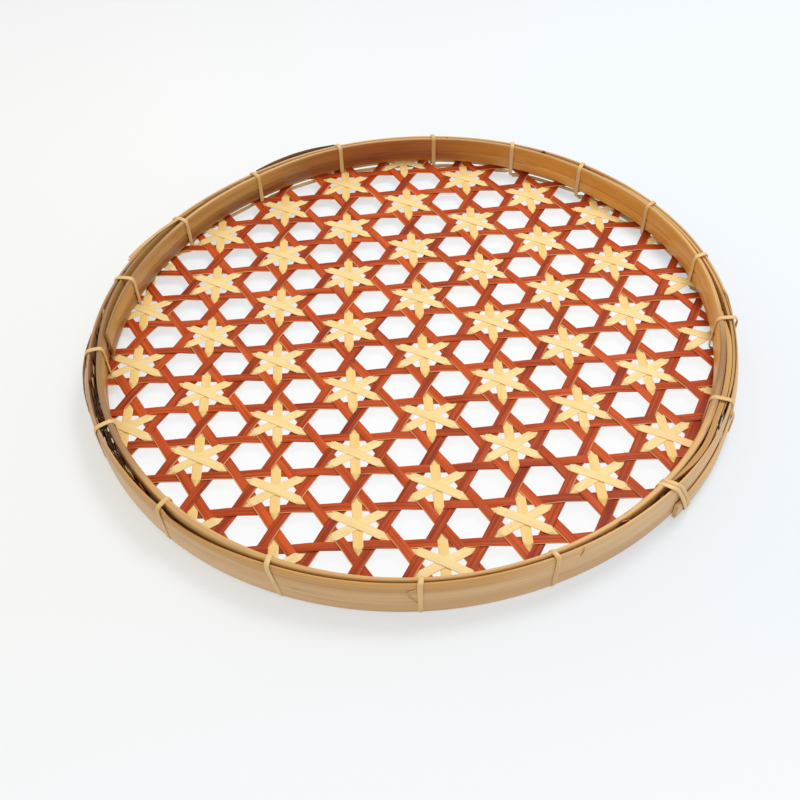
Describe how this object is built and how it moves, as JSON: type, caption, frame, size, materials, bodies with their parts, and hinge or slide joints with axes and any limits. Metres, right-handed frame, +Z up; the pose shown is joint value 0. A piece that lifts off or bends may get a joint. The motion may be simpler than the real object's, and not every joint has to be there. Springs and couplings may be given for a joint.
{
  "type": "woven wall basket",
  "caption": "Shallow round bamboo tray for the wall or table: dyed and natural strips in an open star weave, held in a lashed double-hoop rim.",
  "frame": {"origin": "middle of the tray on the surface that it lies on", "axes": "+Z up out of the tray's open side, +X along the level dyed strips, +Y towards the tray's far side in the picture"},
  "size_m": [0.4054, 0.3972, 0.0291],
  "materials": {
    "bamboo_hoop": "satin, heat-bent bamboo band",
    "bamboo_splint": "satin, split bamboo",
    "cane_lashing": "satin, split cane",
    "dyed_strip": "glossy, dyed red-orange bamboo strip",
    "natural_strip": "satin, undyed bamboo strip"
  },
  "bodies": {
    "root": {"outer_hoop": "bamboo_hoop", "inner_hoop": "bamboo_hoop", "rim_splint_1": "bamboo_splint", "rim_splint_2": "bamboo_splint", "lashing": "cane_lashing", "dyed_a_01": "dyed_strip", "dyed_a_02": "dyed_strip", "dyed_a_03": "dyed_strip", "dyed_a_04": "dyed_strip", "dyed_a_05": "dyed_strip", "dyed_a_06": "dyed_strip", "dyed_a_07": "dyed_strip", "dyed_a_08": "dyed_strip", "dyed_a_09": "dyed_strip", "dyed_a_10": "dyed_strip", "dyed_a_11": "dyed_strip", "dyed_a_12": "dyed_strip", "dyed_a_13": "dyed_strip", "dyed_a_14": "dyed_strip", "dyed_b_01": "dyed_strip", "dyed_b_02": "dyed_strip", "dyed_b_03": "dyed_strip", "dyed_b_04": "dyed_strip", "dyed_b_05": "dyed_strip", "dyed_b_06": "dyed_strip", "dyed_b_07": "dyed_strip", "dyed_b_08": "dyed_strip", "dyed_b_09": "dyed_strip", "dyed_b_10": "dyed_strip", "dyed_b_11": "dyed_strip", "dyed_b_12": "dyed_strip", "dyed_b_13": "dyed_strip", "dyed_b_14": "dyed_strip", "dyed_c_01": "dyed_strip", "dyed_c_02": "dyed_strip", "dyed_c_03": "dyed_strip", "dyed_c_04": "dyed_strip", "dyed_c_05": "dyed_strip", "dyed_c_06": "dyed_strip", "dyed_c_07": "dyed_strip", "dyed_c_08": "dyed_strip", "dyed_c_09": "dyed_strip", "dyed_c_10": "dyed_strip", "dyed_c_11": "dyed_strip", "dyed_c_12": "dyed_strip", "dyed_c_13": "dyed_strip", "dyed_c_14": "dyed_strip", "natural_p_strip": "natural_strip", "natural_q_strip": "natural_strip", "natural_star_1": "natural_strip", "natural_star_2": "natural_strip", "natural_star_3": "natural_strip", "natural_star_4": "natural_strip", "natural_star_5": "natural_strip", "natural_star_6": "natural_strip", "natural_star_7": "natural_strip", "natural_v_strip": "natural_strip"}
  },
  "joints": []
}
